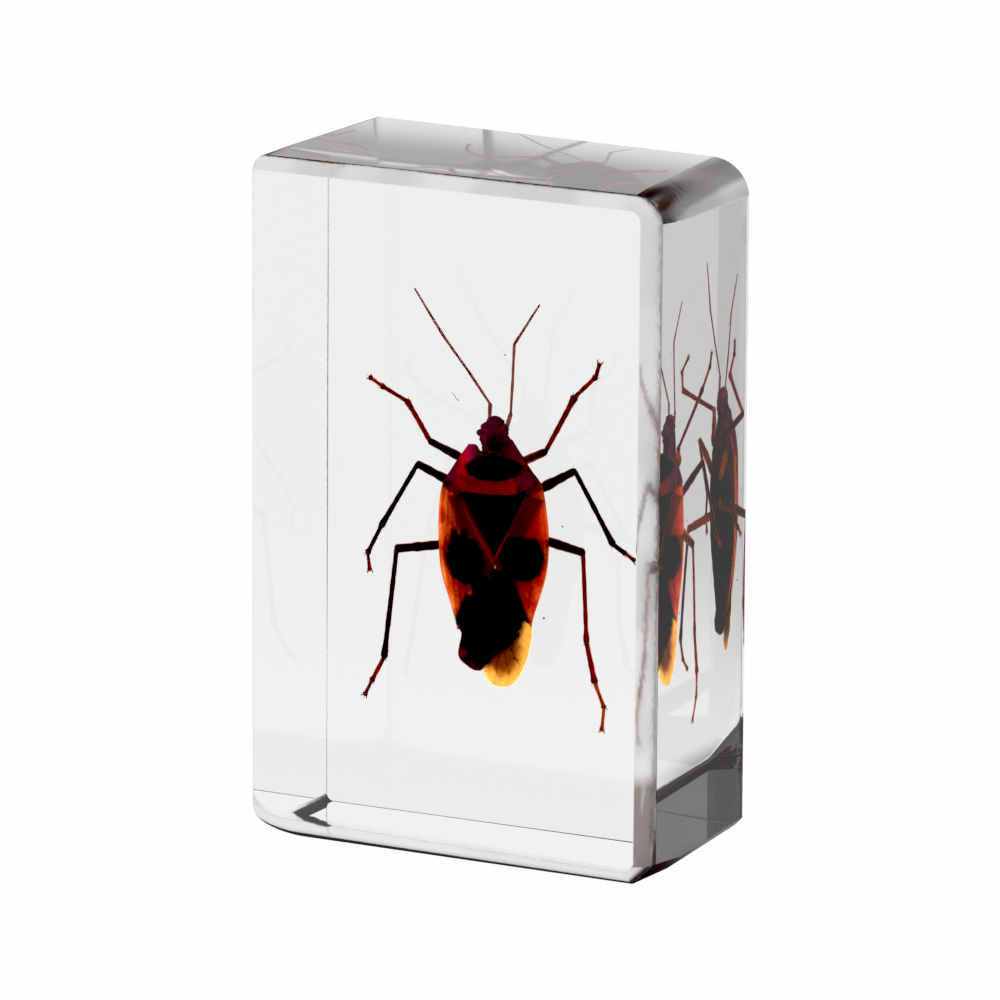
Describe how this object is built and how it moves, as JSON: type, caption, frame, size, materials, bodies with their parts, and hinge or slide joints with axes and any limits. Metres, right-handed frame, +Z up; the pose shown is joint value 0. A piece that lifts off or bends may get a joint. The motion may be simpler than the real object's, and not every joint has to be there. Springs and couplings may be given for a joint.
{
  "type": "insect in resin block",
  "caption": "Upright clear cast-resin block with rounded corners and rims, with a dried red bug sealed inside; rests on its narrow end.",
  "frame": {"origin": "middle of the block's underside", "axes": "+Z up along the block's height, -Y out of the wide front face, +X to the right seen from the front"},
  "size_m": [0.0276, 0.0166, 0.0441],
  "materials": {
    "clear_resin": "water-clear cast resin, hand polished, with a few fine scratches",
    "insect_cuticle": "dried chitin, near black to dark red, thin parts glow orange against the light",
    "insect_wing": "leathery orange-red fore wing with black spots, translucent",
    "insect_membrane": "thin amber wing membrane with brown veins"
  },
  "bodies": {
    "root": {"resin_block": "clear_resin"}
  },
  "joints": []
}
